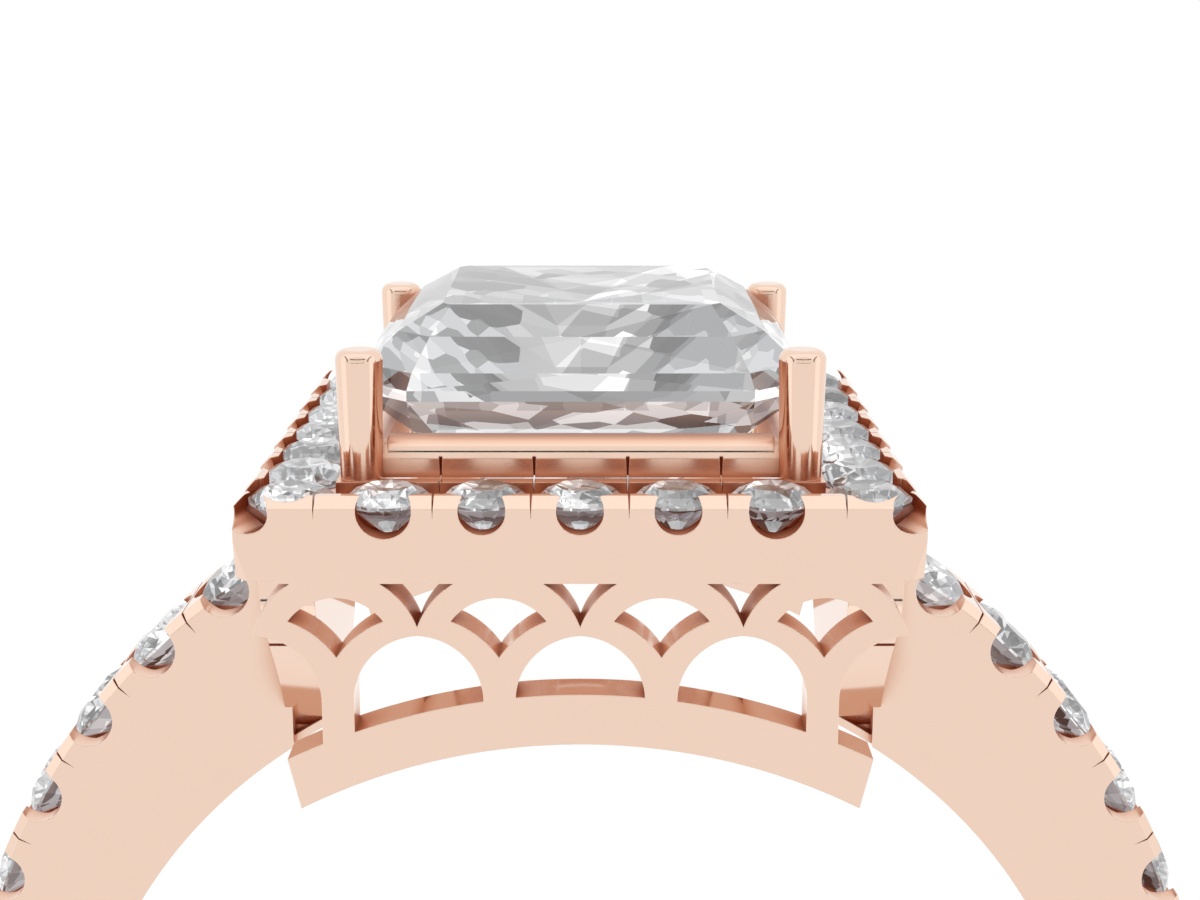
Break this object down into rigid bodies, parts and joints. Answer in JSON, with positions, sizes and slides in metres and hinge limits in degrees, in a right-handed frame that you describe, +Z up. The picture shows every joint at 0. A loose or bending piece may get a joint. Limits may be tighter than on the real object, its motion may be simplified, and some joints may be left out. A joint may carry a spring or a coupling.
{
  "type": "halo engagement ring",
  "caption": "Rose gold engagement ring: square halo of small round stones around a prong-set radiant-cut stone, scale-pierced gallery, stone-set shoulders.",
  "frame": {"origin": "centre of the resting ring's bounding box, at the surface it lies on", "axes": "+Z up from the surface; +Y from the bottom of the shank towards the stone; +X across the ring. The finger axis leans about 12 degrees from +Z towards -Y, as the ring lies by itself"},
  "size_m": [0.0204, 0.024, 0.01],
  "materials": {
    "rose_gold": "high polish, 14 carat rose gold",
    "centre_diamond": "polished, colourless",
    "halo_diamond": "polished, colourless",
    "shoulder_diamond": "polished, colourless"
  },
  "bodies": {
    "root": {"mount": "rose_gold", "centre_stone": "centre_diamond", "halo_stone_1": "halo_diamond", "halo_stone_2": "halo_diamond", "halo_stone_3": "halo_diamond", "halo_stone_4": "halo_diamond", "halo_stone_5": "halo_diamond", "halo_stone_6": "halo_diamond", "halo_stone_7": "halo_diamond", "halo_stone_8": "halo_diamond", "halo_stone_9": "halo_diamond", "halo_stone_10": "halo_diamond", "halo_stone_11": "halo_diamond", "halo_stone_12": "halo_diamond", "halo_stone_13": "halo_diamond", "halo_stone_14": "halo_diamond", "halo_stone_15": "halo_diamond", "halo_stone_16": "halo_diamond", "halo_stone_17": "halo_diamond", "halo_stone_18": "halo_diamond", "halo_stone_19": "halo_diamond", "halo_stone_20": "halo_diamond", "halo_stone_21": "halo_diamond", "halo_stone_22": "halo_diamond", "halo_stone_23": "halo_diamond", "halo_stone_24": "halo_diamond", "left_stone_1": "shoulder_diamond", "left_stone_2": "shoulder_diamond", "left_stone_3": "shoulder_diamond", "left_stone_4": "shoulder_diamond", "left_stone_5": "shoulder_diamond", "left_stone_6": "shoulder_diamond", "left_stone_7": "shoulder_diamond", "right_stone_1": "shoulder_diamond", "right_stone_2": "shoulder_diamond", "right_stone_3": "shoulder_diamond", "right_stone_4": "shoulder_diamond", "right_stone_5": "shoulder_diamond", "right_stone_6": "shoulder_diamond", "right_stone_7": "shoulder_diamond"}
  },
  "joints": []
}
